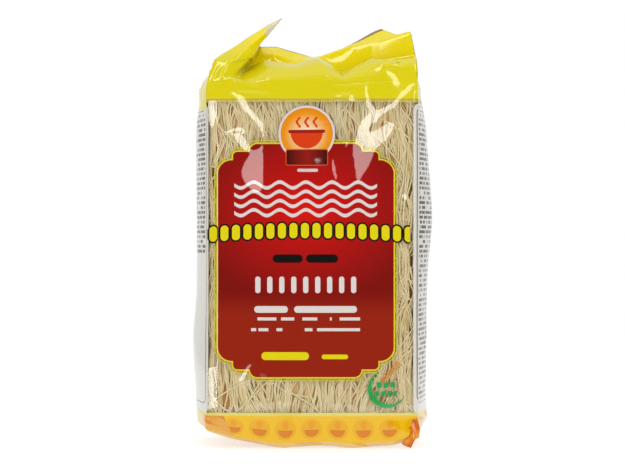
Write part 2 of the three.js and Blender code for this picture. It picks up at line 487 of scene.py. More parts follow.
EDGE_LINE = [
    (0.00, -20, -13, 284), (0.04, -24, -14, 279), (0.10, -30, -14, 272), (0.17, -34.5, -11, 268.2),
    (0.22, -36, 6, 267.4), (0.31, -25, 6, 267.4), (0.42, -12, 10, 264.3), (0.52, 0, 14, 261),
    (0.61, 9, 13, 262.3), (0.68, 15, 12, 264), (0.82, 30, 10, 271.5), (0.94, 41, 8, 277.5),
    (1.00, 46.3, 7, 279.6),
]
# Each line with its height on the web.
FRONT_ROOF = (
    (SHOULDER, SHOULDER_LINE),
    (SHOULDER + 13, COLLAR_LINE),
    (SHOULDER + 22, CREST_LINE),
    (SEAL_FOOT, FOOT_LINE),
)
STRIP = (
    (SEAL_FOOT, FOOT_LINE),
    (SEAL_FOOT + 11, BEND_LINE),
    (SEAL_FOOT + 14.5, TUCK_LINE),
    (WEB_HIGH, EDGE_LINE),
)


def across(line, share):
    """The place on a fold line at a share of the strip's width, as an array of x, y, z."""
    marks = np.array(line)
    return np.stack([np.interp(share, marks[:, 0], marks[:, i]) for i in (1, 2, 3)], axis=-1)


def up_lines(stack, share, w):
    """The place at height w of the web on a stack of fold lines, straight from each line to the next."""
    heights = [height for height, _ in stack]
    lines = [across(line, share) for _, line in stack]
    place = lines[0]
    for low, high, start, end in zip(heights, heights[1:], lines, lines[1:]):
        climbed = np.clip((w - low) / (high - low), 0, 1)[..., None]
        place = place + (end - start) * climbed
    return place


def swollen(height, most, middle, reach):
    """How much one bump in the block pushes the film out at a height."""
    return most * np.exp(-(((height - middle) / reach) ** 2))


def side_bulge(height, side):
    """The block is uneven, so the left side swells out low down and the right one above its middle."""
    swell = np.where(side < 0, swollen(height, *LEFT_SWELL) - 1, swollen(height, *RIGHT_SWELL) - 3)
    closing = eased((height - 205) / 35) * np.where(side < 0, 0.33, 0.5)
    opening = np.where(side < 0, eased((height + 9) / 16), eased((height + 8) / 24))
    return (SIDE_BULGE + swell) * opening * (1 - closing)


def parcel_fold(u, inset):
    """The tube folded in by inset at its front and back, its gussets doubled back behind the panels.
    Returns x, y and the share of a layer, from 0 at the front film to 1 at the back film."""
    away = np.abs(u)
    side = np.sign(u)
    gusset = np.clip(away - HALF_PANEL, 0, 2 * HALF_GUSSET)
    from_front = gusset * HALF_DEPTH / HALF_GUSSET
    from_crease = np.minimum(from_front, 2 * HALF_DEPTH - from_front)
    x = np.where(away <= HALF_PANEL, away, np.minimum(HALF_PANEL, WEB_HALF - away))
    in_gusset = (away > HALF_PANEL) & (away < HALF_PANEL + 2 * HALF_GUSSET)
    x = np.where(in_gusset, HALF_PANEL - np.minimum(from_crease, inset), x)
    half = HALF_DEPTH - inset
    reach = np.maximum(from_crease - inset, 0)
    front = away < HALF_PANEL + HALF_GUSSET
    y = np.where(front, -half + reach, half - reach)
    layer = np.where(in_gusset, np.where(front, 0.34, 0.66), np.where(front, 0.0, 1.0))
    return side * x, y, layer


def strip_normal(share, w):
    """Out of the front of the seal strip's middle surface."""
    aside, above = 0.015, 0.4
    right = up_lines(STRIP, np.clip(share + aside, 0, 1), w)
    along = right - up_lines(STRIP, np.clip(share - aside, 0, 1), w)
    higher = up_lines(STRIP, share, np.clip(w + above, SEAL_FOOT, WEB_HIGH))
    up = higher - up_lines(STRIP, share, np.clip(w - above, SEAL_FOOT, WEB_HIGH))
    normal = np.cross(up, along)
    return normal / np.linalg.norm(normal, axis=-1, keepdims=True)


def around_block(u, w):
    """The film under the block, round its bottom folds and up its walls. Returns x, y and z, the layer
    of the bag that each point is in, how far it is drawn in, and how far a gusset stands out there."""
    away = np.abs(u)
    side = np.sign(u)
    turn = np.clip((w - WEB_LOW - UNDER) / FOLD_RADIUS, 0, math.pi / 2)
    under = np.clip(WEB_LOW + UNDER - w, 0, UNDER)
    inset = under + FOLD_RADIUS * (1 - np.sin(turn))
    height = np.where(w < FOLD_RADIUS, FOLD_RADIUS * (1 - np.cos(turn)), w)
    rise = np.clip((w - SHOULDER) / ROOF, 0, 1)
    inset = np.where(w > SHOULDER, HALF_DEPTH * rise, inset)
    x, y, layer = parcel_fold(u, inset)

    # A gusset stands out in an arch, which closes low in the roof, and a panel in a slight crown.
    in_gusset = (away > HALF_PANEL) & (away < HALF_PANEL + 2 * HALF_GUSSET)
    gusset_share = np.clip((away - HALF_PANEL) / (2 * HALF_GUSSET), 0, 1)
    arch = 1 - np.abs(2 * gusset_share - 1) ** 1.5
    bulge = side_bulge(height, side) * np.clip(1 - rise * 2.2, 0, 1)
    stand_out = side * np.where(in_gusset, bulge * arch, 0)
    x = x + stand_out
    panel_share = np.where(away <= HALF_PANEL, away / HALF_PANEL, (WEB_HALF - away) / HALF_PANEL)
    crown = np.where(in_gusset, 0, PANEL_CROWN * np.cos(np.clip(panel_share, 0, 1) * math.pi / 2))
    standing = eased((height - 1) / 20) * eased((SHOULDER - height) / 40)
    y = y + np.where(layer < 0.5, -1, 1) * crown * standing
    turned = corner_turn(np.clip(u, -HALF_PANEL, HALF_PANEL), w)
    beside = np.clip(1 - (away - HALF_PANEL) / HALF_GUSSET, 0, 1)
    y = y + turned * np.where(away <= HALF_PANEL, 1, beside)
    z = height + np.where(in_gusset, GUSSET_LIFT, 0.0) * (w < 0) + FOOT_LIFT * (w < FOLD_RADIUS)
    return x, y, z + corner_lift(x, height), layer, inset, stand_out


def over_block(x, y, w, layer, inset, share):
    """The roof: the front film goes up over its crest, the back film in a low hump to the seal's foot,
    and the gussets lie between them."""
    rise = np.clip((w - SHOULDER) / ROOF, 0, 1)
    front = up_lines(FRONT_ROOF, share, w)
    foot = across(FOOT_LINE, share)
    start = np.stack([x, np.full_like(x, HALF_DEPTH), np.full_like(x, SHOULDER)], axis=-1)
    hump = (np.sin(rise * math.pi) * BACK_HUMP)[..., None] * np.array([0, 0.5, 1.0])
    back = start + (foot - start) * rise[..., None] + hump
    behind = np.clip((y + HALF_DEPTH - inset) / np.maximum(2 * (HALF_DEPTH - inset), 0.05), 0, 1)
    behind = np.where(layer == 0, 0, np.where(layer == 1, 1, behind))[..., None]
    return front + (back - front) * behind


def wrapped(u, w):
    """Where each point of the flat web lies once the bag is packed. u runs around it, w up it."""
    x, y, z, layer, inset, stand_out = around_block(u, w)
    share = np.clip(0.5 + x / (2 * HALF_PANEL), 0, 1)
    roof = over_block(x, y, w, layer, inset, share)
    roof[..., 0] += stand_out

    # In the strip all layers follow its middle surface, a film's gap apart, and the outer two meet at
    # the crimped edge.
    outer = (layer == 0) | (layer == 1)
    met = CRIMP * (w > WEB_HIGH - 0.01) * outer
    spread = (layer - 0.5) * 2 * LAYER_GAP * (1 - met)
    apart = strip_normal(share, np.maximum(w, SEAL_FOOT)) * spread[..., None]
    roof = roof + apart * np.clip((w - SEAL_FOOT + 3) / 3, 0, 1)[..., None]
    place = np.where((w > SHOULDER)[..., None], roof, np.stack([x, y, z], axis=-1))
    return np.where((w > SEAL_FOOT)[..., None], up_lines(STRIP, share, w) + apart, place)


def rounded_off(u, w):
    """The wrapped web with its shoulder and folds rounded, because film doesn't turn on a line."""
    reach = 0.7 + 4.0 * eased((w - 226) / 12) * eased((258 - w) / 12)
    taps = ((-1.5, 0.1), (-0.75, 0.22), (0, 0.36), (0.75, 0.22), (1.5, 0.1))
    place = 0
    for step, weight in taps:
        place = place + weight * wrapped(u, np.clip(w + step * reach, WEB_LOW, WEB_HIGH))
    ends = ((w < WEB_LOW + 3) | (w > WEB_HIGH - 2))[..., None]
    return np.where(ends, wrapped(u, w), place)


def facets(u, w, seed, pitch_u, pitch_w):
    """Crumpled film: flat facets between uneven points of random height, with sharp creases between."""
    rng = random.Random(seed)
    around = int(round(2 * WEB_HALF / pitch_u))
    step_u = 2 * WEB_HALF / around
    tall = int((WEB_HIGH - WEB_LOW) / pitch_w) + 4
    points = []
    heights = []
    for row in range(tall):
        jitter = [
            (rng.uniform(-0.42, 0.42), rng.uniform(-0.42, 0.42), rng.uniform(-1, 1)) for _ in range(around)
        ]
        for column in range(-2, around + 3):
            move_u, move_w, height = jitter[column % around]
            at_u = -WEB_HALF + (column + 0.5 * (row % 2) + move_u) * step_u
            points.append(Vector((at_u, WEB_LOW + (row - 1 + move_w) * pitch_w)))
            heights.append(height)
    places, _, faces, came_from, _, _ = delaunay_2d_cdt(points, [], [], 0, 1e-6)
    field = np.zeros_like(u)
    for face in faces:
        (ax, aw), (bx, bw), (cx, cw) = (places[i] for i in face)
        ha, hb, hc = (heights[came_from[i][0]] for i in face)
        inside = (u >= min(ax, bx, cx)) & (u <= max(ax, bx, cx))
        inside &= (w >= min(aw, bw, cw)) & (w <= max(aw, bw, cw))
        if not inside.any():
            continue
        area = (bx - ax) * (cw - aw) - (cx - ax) * (bw - aw)
        pu, pw = u[inside], w[inside]
        to_b = ((pu - ax) * (cw - aw) - (cx - ax) * (pw - aw)) / area
        to_c = ((bx - ax) * (pw - aw) - (pu - ax) * (bw - aw)) / area
        hit = (to_b >= -1e-6) & (to_c >= -1e-6) & (to_b + to_c <= 1 + 1e-6)
        values = field[inside]
        values[hit] = (ha + (hb - ha) * to_b + (hc - ha) * to_c)[hit]
        field[inside] = values
    return field


# Where the front film is pulled into facets that lean to one side by about nine degrees, which is what
# catches a softbox as a hard-edged sheen. Outlines on the flat web.
LEANS_LEFT = (
    ((-68.5, 228), (-62.5, 228), (-62.5, 219.5), (-64.5, 211), (-66.5, 204), (-68, 211)),
    ((-68.5, 53), (-62.5, 54.5), (-62, 25.5), (-68.5, 25.5)),
    (
        (-52, 207.5), (-50.5, 209), (-46.5, 206), (-43.5, 201.5), (-40.5, 197), (-40.5, 194),
        (-43.5, 194), (-46.5, 197), (-50, 201.5), (-51, 206),
    ),
    (
        (-56, 233.5), (-49.5, 233), (-45, 230.5), (-41.5, 224), (-37.5, 219), (-33.5, 214.5), (-32, 211),
        (-31.5, 204.5), (-32, 198), (-32, 196), (-32.5, 187.5), (-32.5, 180), (-32.5, 171.5), (-34, 167),
        (-38.5, 167), (-45, 175), (-46.5, 180), (-44, 187.5), (-39, 195), (-33, 197.5), (-33, 204.5),
        (-35, 211), (-38, 214.5), (-43.5, 219), (-47, 224), (-51, 230), (-54.5, 232),
    ),
    ((-41, 56.5), (-39, 55.5), (-43, 49.5), (-45, 44), (-48.5, 43), (-47, 47.5), (-44, 52)),
    ((-34.5, 51.5), (-32.5, 51), (-29, 44.5), (-31, 43.5)),
)
LEANS_RIGHT = (
    ((57, 166), (60.5, 167.5), (62.5, 161), (59, 163.5)),
    (
        (34, 238.5), (36, 238), (36.5, 231.5), (37, 227.5), (38.5, 224), (41.5, 221), (49.5, 225),
        (54.5, 228.5), (58.5, 232.5), (65.5, 240), (67.5, 239), (62, 232.5), (57.5, 227.5), (52.5, 222),
        (47, 219), (44.5, 216.5), (42, 214), (38, 211), (35.5, 208), (38.5, 207.5), (44, 210), (49, 213),
        (53.5, 213.5), (53, 210), (49.5, 203.5), (46.5, 200), (43, 197.5), (40, 194), (38.5, 188.5),
        (35, 182), (31.5, 176.5), (30, 173), (28.5, 176.5), (27.5, 183), (26.5, 190.5), (26, 198),
        (28.5, 203.5), (30, 210), (34, 216.5), (37.5, 220), (35.5, 224), (35, 227.5), (34, 232.5),
    ),
    ((24.5, 231.5), (27.5, 232), (27.5, 225.5), (24, 225), (23, 228)),
    ((12, 190.5), (13.5, 190.5), (15.5, 183), (16.5, 175), (14.5, 175), (12.5, 182)),
    ((21.5, 201.5), (23, 201.5), (22.5, 195.5), (21.5, 195.5)),
)


def inside_outline(outline, u, w):
    """1 where a place of the web lies in or just beside an outline, softened over its last millimetre."""
    inside = np.zeros(u.shape, dtype=bool)
    for (u0, w0), (u1, w1) in zip(outline, outline[1:] + outline[:1]):
        if w0 != w1:
            crosses = (w0 > w) != (w1 > w)
            inside ^= crosses & (u < u0 + (w - w0) * (u1 - u0) / (w1 - w0))
    inside |= np.roll(inside, 1, 1) | np.roll(inside, -1, 1)
    soft = inside.astype(float)
    for axis in (0, 1):
        soft = 0.25 * np.roll(soft, 1, axis) + 0.5 * soft + 0.25 * np.roll(soft, -1, axis)
    return soft


LEAN_MIDDLE = 0.199
LEAN_FALL = 0.0009  # a facet further out needs less lean
SLOPE_BACK = 0.06


def leaning_facets(u, w, place, relief):
    """Adds to the relief what makes each facet above lean, and slopes the film gently back beside it,
    on the right of a facet that leans left and on the left of one that leans right."""
    front = np.abs(u) < HALF_PANEL - 0.4
    step = np.where(front, np.maximum(np.gradient(place[..., 0], axis=1), 0.2), 1)
    slope = np.gradient(relief - place[..., 1], axis=1) / step
    lean = LEAN_MIDDLE - LEAN_FALL * np.abs(u)
    masks = [
        (inside_outline(outline, u, w) * front, side)
        for outlines, side in ((LEANS_LEFT, 1), (LEANS_RIGHT, -1))
        for outline in outlines
    ]
    spare = front * (1 - np.clip(sum(mask for mask, _ in masks), 0, 1))
    change = 0
    for mask, side in masks:
        turned = mask * (side * lean - slope) * step
        climb = turned.sum(axis=1, keepdims=True)
        edge = np.where(mask > 0.05, side * u, -WEB_HALF).max(axis=1, keepdims=True)
        beside = (side * u - edge) / (np.abs(climb) / SLOPE_BACK + 5)
        give = spare * step * np.where((beside > 0) & (beside < 1), np.sin(math.pi * beside) ** 2, 0)
        change = change + turned - climb * give / np.maximum(give.sum(axis=1, keepdims=True), 0.5)
    change = 0.5 * (change + np.roll(change, 1, axis=1))
    return relief + front * np.cumsum(change, axis=1)


COARSE_FACET = (21, 34)  # its size around the bag and up it
FINE_FACET = (8.5, 11)


def crumple(u, w):
    """How far the film stands out from its plain wrapped shape, in millimetres: nearly flat over the
    label, crumpled in flat facets at the top, at the foot, along the creases and on the gussets."""
    away = np.abs(u)
    on_front = away < HALF_PANEL
    edge = eased((away % WEB_HALF - 52) / 16)
    top = eased((w - 206) / 44) * eased((WEB_HIGH - 8 - w) / 16)
    low = eased((34 - w) / 16) * eased((w - WEB_LOW) / 8)
    in_gusset = ((away > HALF_PANEL) & (away < HALF_PANEL + 2 * HALF_GUSSET)).astype(float)
    coarse = facets(u, w, 11, *COARSE_FACET)
    fine = facets(u, w, 29, *FINE_FACET)
    amount = 0.08 + 0.12 * edge * on_front + 0.75 * top + 0.5 * low + 0.5 * in_gusset
    return coarse * amount + fine * 0.3 * (0.03 + 1.9 * top + 0.8 * low + 0.35 * in_gusset)


def normals_of(grid):
    """Outward normals of a grid of places whose columns run around the bag and close on themselves."""
    around = np.concatenate([grid[:, -2:-1], grid, grid[:, 1:2]], axis=1)
    along = around[:, 2:] - around[:, :-2]
    up = np.gradient(grid, axis=0)
    normal = np.cross(along, up)
    size = np.linalg.norm(normal, axis=-1, keepdims=True)
    return normal / np.maximum(size, 1e-6)


film_shape = bmesh.new()
bmesh.ops.create_grid(film_shape, x_segments=len(columns) - 1, y_segments=len(rows) - 1, size=0.5)
film_mesh = bpy.data.meshes.new("film")
film_shape.to_mesh(film_mesh)
film_shape.free()

flat = np.empty(len(film_mesh.vertices) * 3)
film_mesh.vertices.foreach_get("co", flat)
flat = flat.reshape(-1, 3)
column_of = np.rint((flat[:, 0] + 0.5) * (len(columns) - 1)).astype(int)
row_of = np.rint((flat[:, 1] + 0.5) * (len(rows) - 1)).astype(int)
web_u = columns[column_of]
web_w = rows[row_of]

grid_u, grid_w = np.meshgrid(columns, rows)
grid_place = rounded_off(grid_u, grid_w)
grid_relief = leaning_facets(grid_u, grid_w, grid_place, crumple(grid_u, grid_w))
still = eased((grid_w - WEB_LOW) / 6) * eased((WEB_HIGH - grid_w) / 4)
in_strip = eased((grid_w - SEAL_FOOT + 6) / 6)
grid_place = grid_place + normals_of(grid_place) * (grid_relief * still * (1 - in_strip))[..., None]
place = grid_place[row_of, column_of]
film_mesh.vertices.foreach_set("co", (place * MM).ravel())
film_mesh.update()

uv = film_mesh.uv_layers.new(name="web")
corner_vertex = np.empty(len(film_mesh.loops), dtype=int)
film_mesh.loops.foreach_get("vertex_index", corner_vertex)
uv_values = np.stack([web_u[corner_vertex], web_w[corner_vertex]], axis=-1) * 0.001 + 0.5
uv.data.foreach_set("uv", uv_values.ravel())

# The web is welded into a closed bag: its long edges down the back, and along the bottom seal and the
# crimped edge the front film to the back film and each gusset to itself.
film_shape = bmesh.new()
film_shape.from_mesh(film_mesh)
film_shape.verts.ensure_lookup_table()
at = {(row, column): film_shape.verts[i] for i, (row, column) in enumerate(zip(row_of, column_of))}
last = len(columns) - 1
middle = last // 2
gusset_middle = (column_counts[0] + column_counts[1], last - column_counts[0] - column_counts[1])
joins = {at[row, last]: at[row, 0] for row in range(len(rows))}
for row in (0, len(rows) - 1):
    for column in range(1, column_counts[0] + 1):
        joins[at[row, column]] = at[row, middle - column]
        joins[at[row, last - column]] = at[row, middle + column]
    joins[at[row, last]] = at[row, middle]
    joins[at[row, 0]] = at[row, middle]
    for fold in gusset_middle:
        toward_front = 1 if fold < middle else -1
        for step in range(1, column_counts[1]):
            joins[at[row, fold - toward_front * step]] = at[row, fold + toward_front * step]
bmesh.ops.weld_verts(film_shape, targetmap=joins)
film_shape.to_mesh(film_mesh)
film_shape.free()


# ---- the print: flexo inks on the inside of the film, laid out on the flat web in millimetres ----

INK_YELLOW = "#D2C40F"
INK_YELLOW_DENSE = "#E2CF02"  # where the film lies in several layers
INK_FRINGE = "#DCCB4A"
INK_REDS = ((0.0, "#C9120A"), (0.35, "#AD0F0C"), (0.7, "#920F0C"), (1.0, "#760F09"))
INK_BRICK = "#8C200D"
INK_RULE = "#CDBF22"
INK_GOLD = "#C9B83C"
INK_WHITE = "#CFC6C2"
INK_ORANGES = ((0.15, "#E4D0B4"), (0.55, "#DDB074"), (0.82, "#DE8C18"), (1.0, "#D88010"))
INK_BOWL = "#CC3A0E"
INK_BOWL_RIM = "#961A14"
INK_PLATE_RULE = "#C64E14"
INK_PLATE = ((0.0, "#8E1A14"), (1.0, "#2E0B09"))
INK_BLACK = "#15100E"
INK_GREEN = "#22974A"
INK_EAR = "#C98026"
INK_STRIPE = "#D6CA66"
INK_BAND = "#E1B107"
INK_BAND_DISC = "#DBA406"
INK_BAND_BOWL = "#CC7604"
INK_BAND_STEAM = "#DA9206"
INK_FOLD = ((0.45, "#E2AC46"), (0.95, "#D87E22"))
INK_GUSSET_FOOT = ((0.45, "#E4C68C"), (0.95, "#DA983E"))
# Along the foot and under the bag: a paler peach, painted light against the shade at the table.
INK_FOOT_PAINTED_LIGHT = ((0.45, "#E0BC74"), (0.95, "#DCA04A"))
INK_PANEL = "#CDCBC2"
INK_SMALL_TYPE = "#484542"
INK_SEAL = "#8A6E04"
INK_CLEAR_TIP = "#D9D0AE"

WINDOW_TOP = 228.6  # where the yellow top begins
LEFT_GUSSET_YELLOW = 222.1  # where it begins on the left gusset
BAND_TOP = 21.6
STRIPE = 2.2
PAST_EDGE = WEB_HIGH + 5
PRINT_SHIFT = -1.2  # the sleeve was printed this far to the left of its creases
LABEL_CENTRE = (-4.4, 123.0)
LABEL_STEPS = (((57.4, 65.5), 9.0), ((47.5, 71.0), 3.0), ((36.5, 76.0), 5.0))  # half sizes, corner radius
BADGE_CENTRE = (-3.8, 205.6)
BADGE_RADIUS = 17.0
BADGE_RING = 1.4
BOWL_RIM_HEIGHT = 206.5
BOWL_RADIUS = 10.5
STEAM_PITCH = 5.5
PLATE_CENTRE = (-3.7, 190.2)
STROKE_PITCH = 6.0
STROKE_HALF = 1.15
GRAIN_PITCH = 7.5
WHITE_GRAIN_PITCH = 7.8
CRESCENT_RADIUS = 12.4
EAR_FOOT = (45.4, 44.6)
EAR_LENGTH = 16.2
EAR_LEAN = 46  # degrees
DISC_PITCH = 17.0

film_material, sleeve = new_material("polypropylene_film_flexo_printed")
inks = []


def lay(ink, *limits, share=None, cover=1.0):
    """Prints one more ink over the ones before it, where each measure lies between its two limits, and
    None is no limit. share is a graded strength, and cover is how opaque the ink lies."""
    where = share
    for measure, low, high in limits:
        if low is None:
            test = {"operation": "LESS_THAN", 1: high}
        elif high is None:
            test = {"operation": "GREATER_THAN", 1: low}
        else:
            test = {"operation": "COMPARE", 1: (low + high) / 2, 2: (high - low) / 2}
        met = node(sleeve, "Math", test, i0=measure)
        where = met if where is None else node(sleeve, "Math", {"operation": "MULTIPLY"}, i0=where, i1=met)
    inks.append((ink, where, cover))


def rounded_box(at, centre, half, radius):
    """How far a place lies outside a rounded box, in millimetres, and below 0 inside it."""
    from_centre = node(sleeve, "VectorMath", {"operation": "SUBTRACT", 1: (*centre, 0)}, i0=at)
    folded = node(sleeve, "VectorMath", {"operation": "ABSOLUTE"}, i0=from_centre)
    core_half = (half[0] - radius, half[1] - radius, 0)
    past = node(sleeve, "VectorMath", {"operation": "SUBTRACT", 1: core_half}, i0=folded)
    outside = node(sleeve, "VectorMath", {"operation": "MAXIMUM", 1: (0, 0, 0)}, i0=past)
    far = node(sleeve, "VectorMath", {"operation": "LENGTH"}, i0=outside).outputs["Value"]
    return node(sleeve, "Math", {"operation": "SUBTRACT", 1: radius}, i0=far)


def oval(at, centre, half_x, half_y):
    """1 on the edge of an upright oval, less inside it and more outside."""
    from_centre = node(sleeve, "VectorMath", {"operation": "SUBTRACT", 1: (*centre, 0)}, i0=at)
    shrink = (1 / half_x, 1 / half_y, 0)
    scaled = node(sleeve, "VectorMath", {"operation": "MULTIPLY", 1: shrink}, i0=from_centre)
    return node(sleeve, "VectorMath", {"operation": "LENGTH"}, i0=scaled).outputs["Value"]


def away_from(value, middle):
    """How far a value is from a middle one, on either side."""
    apart = node(sleeve, "Math", {"operation": "SUBTRACT", 1: middle}, i0=value)
    return node(sleeve, "Math", {"operation": "ABSOLUTE"}, i0=apart)


def in_row(value, pitch, first):
    """The place across a row of like marks: 0 in the middle of each, and one of them is at first."""
    onward = node(sleeve, "Math", {"operation": "SUBTRACT", 1: first}, i0=value)
    return node(sleeve, "Math", {"operation": "WRAP", 1: pitch / 2, 2: -pitch / 2}, i0=onward)


def waved(value, along, length, reach):
    """A value that sways by reach for each length along another one, as a wavy line does."""
    turns = node(sleeve, "Math", {"operation": "MULTIPLY", 1: 2 * math.pi / length}, i0=along)
    wave = node(sleeve, "Math", {"operation": "SINE"}, i0=turns)
    return node(sleeve, "Math", {"operation": "MULTIPLY_ADD", 1: reach}, i0=wave, i2=value)


def dashes(at, pitch, height, length, seed):
    """Limits that leave rows of short bars of uneven length, as fine as small type."""
    split = node(sleeve, "SeparateXYZ", i0=at)
    row_share = node(sleeve, "Math", {"operation": "DIVIDE", 1: pitch}, i0=split.outputs[1])
    row = node(sleeve, "Math", {"operation": "FLOOR"}, i0=row_share)
    up_row = node(sleeve, "Math", {"operation": "FRACT"}, i0=row_share)
    column = node(sleeve, "Math", {"operation": "DIVIDE", 1: length}, i0=split)
    apart = node(sleeve, "Math", {"operation": "MULTIPLY", 1: 7.3}, i0=row)
    cell = node(sleeve, "CombineXYZ", {"Z": seed}, X=column, Y=apart)
    breaks = node(sleeve, "TexNoise", {"Scale": 1.0, "Detail": 1.0}, Vector=cell)
    return (up_row, None, height / pitch), (breaks, None, 0.55)


# Where a point of the film is: on the flat web, on its own panel, and on its own gusset.
web_map = node(sleeve, "UVMap", {"uv_map": "web"})
to_mm = {"operation": "MULTIPLY_ADD", 1: (1000, 1000, 0), 2: (-500, -500, 0)}
on_web = node(sleeve, "VectorMath", to_mm, i0=web_map)
web_split = node(sleeve, "SeparateXYZ", i0=on_web)
u, w = web_split.outputs[0], web_split.outputs[1]
x = in_row(u, WEB_HALF, 0)
panel = node(sleeve, "CombineXYZ", X=x, Y=w)
away = away_from(u, PRINT_SHIFT)
past_gusset = node(sleeve, "Math", {"operation": "SUBTRACT", 1: WEB_HALF / 2}, i0=away)
gusset = node(sleeve, "CombineXYZ", X=past_gusset, Y=w)
at_foot = (w, None, BAND_TOP)

# Side panels: white, with a thin rounded rule and rows of bars, which stop halfway down the left one.
lay(INK_PANEL, (rounded_box(gusset, (0, 124), (37, 102), 5), None, 0), cover=0.95)
frame_rule = rounded_box(gusset, (0, 127), (34.2, 97), 5)
lay(INK_SMALL_TYPE, (frame_rule, 0, 0.6))
above_half = node(sleeve, "Math", {"operation": "SUBTRACT", 1: 128}, i0=w)
has_type = node(sleeve, "Math", {"operation": "MAXIMUM"}, i0=above_half, i1=u)
lay(INK_SMALL_TYPE, *dashes(gusset, 3.2, 2.0, 3.8, 3.0), (frame_rule, None, -2.2), (has_type, 0, None))

# The yellow top, with a fringe where only the transparent yellow was laid down. It reaches lower on the
# left gusset.
lay(INK_FRINGE, (w, WINDOW_TOP - 2.4, WINDOW_TOP + 0.2), cover=0.5)
lay(INK_YELLOW, (w, WINDOW_TOP, PAST_EDGE), cover=0.985)
lay(INK_YELLOW_DENSE, share=node(sleeve, "MapRange", {1: SEAL_FOOT - 16, 2: SEAL_FOOT + 6}, Value=w))
left_gusset = (u, HALF_PANEL - WEB_HALF, PRINT_SHIFT - HALF_PANEL)
lay(INK_YELLOW, (w, LEFT_GUSSET_YELLOW, WINDOW_TOP), left_gusset, cover=0.985)

# The red label: three rounded boxes that make its stepped corners, a yellow and a gold rule.
label_steps = [rounded_box(panel, LABEL_CENTRE, half, radius) for half, radius in LABEL_STEPS]
label = label_steps[0]
for step in label_steps[1:]:
    label = node(sleeve, "Math", {"operation": "MINIMUM"}, i0=label, i1=step)
reds = node(sleeve, "ValToRGB", {"stops": INK_REDS}, Fac=oval(panel, (-4, 156), 76, 59))
brick = node(sleeve, "MapRange", {1: 102.0, 2: 88.0}, Value=w)
label_tone = node(sleeve, "Mix", {"data_type": "RGBA", 7: linear(INK_BRICK)}, Factor=brick, i6=reds)
lay(INK_GOLD, (label, 1.7, 2.4), cover=0.9)
lay(INK_RULE, (label, -0.5, 0.9))
lay(label_tone.outputs[2], (label, None, -0.1))

# The badge: an orange disc in a white ring, with a steaming bowl on it and a dark plate under it.
badge_x, badge_height = BADGE_CENTRE
badge = oval(panel, BADGE_CENTRE, BADGE_RADIUS, BADGE_RADIUS)
glow = oval(panel, (badge_x, badge_height - 1), BADGE_RADIUS, BADGE_RADIUS)
lay(INK_WHITE, (badge, None, 1 + BADGE_RING / BADGE_RADIUS))
lay(node(sleeve, "ValToRGB", {"stops": INK_ORANGES}, Fac=glow), (badge, None, 1))
bowl = oval(panel, (badge_x, BOWL_RIM_HEIGHT), BOWL_RADIUS, BOWL_RADIUS)
lay(INK_BOWL, (bowl, None, 1), (w, None, BOWL_RIM_HEIGHT))
lay(INK_BOWL_RIM, (rounded_box(panel, (badge_x, BOWL_RIM_HEIGHT + 0.5), (12, 1.1), 1.1), None, 0))
steam_x = waved(x, w, 6.614, 0.9)
steam_aside = node(sleeve, "Math", {"operation": "SUBTRACT", 1: badge_x}, i0=steam_x)
steam = node(sleeve, "Math", {"operation": "PINGPONG", 1: STEAM_PITCH / 2}, i0=steam_aside)
steam_cloud = oval(panel, (badge_x, 213), 9, 30)
lay(INK_BOWL, (steam, None, 0.85), (w, 209.6, 216.5), (steam_cloud, None, 1))
plate = rounded_box(panel, PLATE_CENTRE, (13.2, 4.8), 0.8)
lay(INK_PLATE_RULE, (plate, None, 0.6))
plate_tone = node(sleeve, "ValToRGB", {"stops": INK_PLATE}, Fac=oval(panel, PLATE_CENTRE, 14, 30))
lay(plate_tone, (plate, None, 0))
lay(INK_WHITE, (rounded_box(panel, (-3.2, 181.8), (6.8, 1.0), 1.0), None, 0), cover=0.9)

# White noodles: four wavy strokes across the label.
rising = waved(w, x, 17, 1.9)
up_strokes = node(sleeve, "Math", {"operation": "SUBTRACT", 1: 154.2}, i0=rising)
stroke = node(sleeve, "Math", {"operation": "PINGPONG", 1: STROKE_PITCH / 2}, i0=up_strokes)
lay(INK_WHITE, (stroke, None, STROKE_HALF), (up_strokes, -2.9, 21), (x, -51, 42))

# A shallow arch of yellow rice grains with a black edge, and a row of white ones further down.
squared = node(sleeve, "Math", {"operation": "POWER", 1: 2.0}, i0=away_from(x, -3))
arched = node(sleeve, "Math", {"operation": "MULTIPLY_ADD", 1: 0.0006}, i0=squared, i2=w)
in_arch = node(sleeve, "CombineXYZ", X=in_row(x, GRAIN_PITCH, -64.9), Y=arched)
grain = rounded_box(in_arch, (0, 142.6), (2.6, 5.0), 2.5)
arch_reach = (x, -69.0, 63.4)
lay(INK_BLACK, (grain, None, 1.1), arch_reach)
lay(INK_YELLOW, (grain, None, 0), arch_reach)
in_white_row = node(sleeve, "CombineXYZ", X=in_row(x, WHITE_GRAIN_PITCH, -35.6), Y=w)
white_grain = rounded_box(in_white_row, (0, 107.2), (1.7, 5.4), 1.6)
lay(INK_WHITE, (white_grain, None, 0), (x, -39.4, 30.7))

# Plain bars below it, dark, white and yellow, and two rows of small white ones.
for centre, half, colour in (
    ((-16.2, 124.3), (9.8, 2.7), INK_BLACK),
    ((6.2, 124.3), (10.4, 2.7), INK_BLACK),
    ((-27.0, 91.2), (11.0, 2.2), INK_WHITE),
    ((8.5, 91.2), (20.5, 2.2), INK_WHITE),
    ((-17.8, 60.8), (15.5, 2.6), INK_YELLOW),
    ((14.6, 60.3), (8.6, 1.5), INK_YELLOW),
):
    lay(colour, (rounded_box(panel, centre, half, min(half)), None, 0))
lay(INK_WHITE, *dashes(panel, 7.0, 2.0, 7.0, 9.0), (x, -40, 31), (w, 74.5, 86))

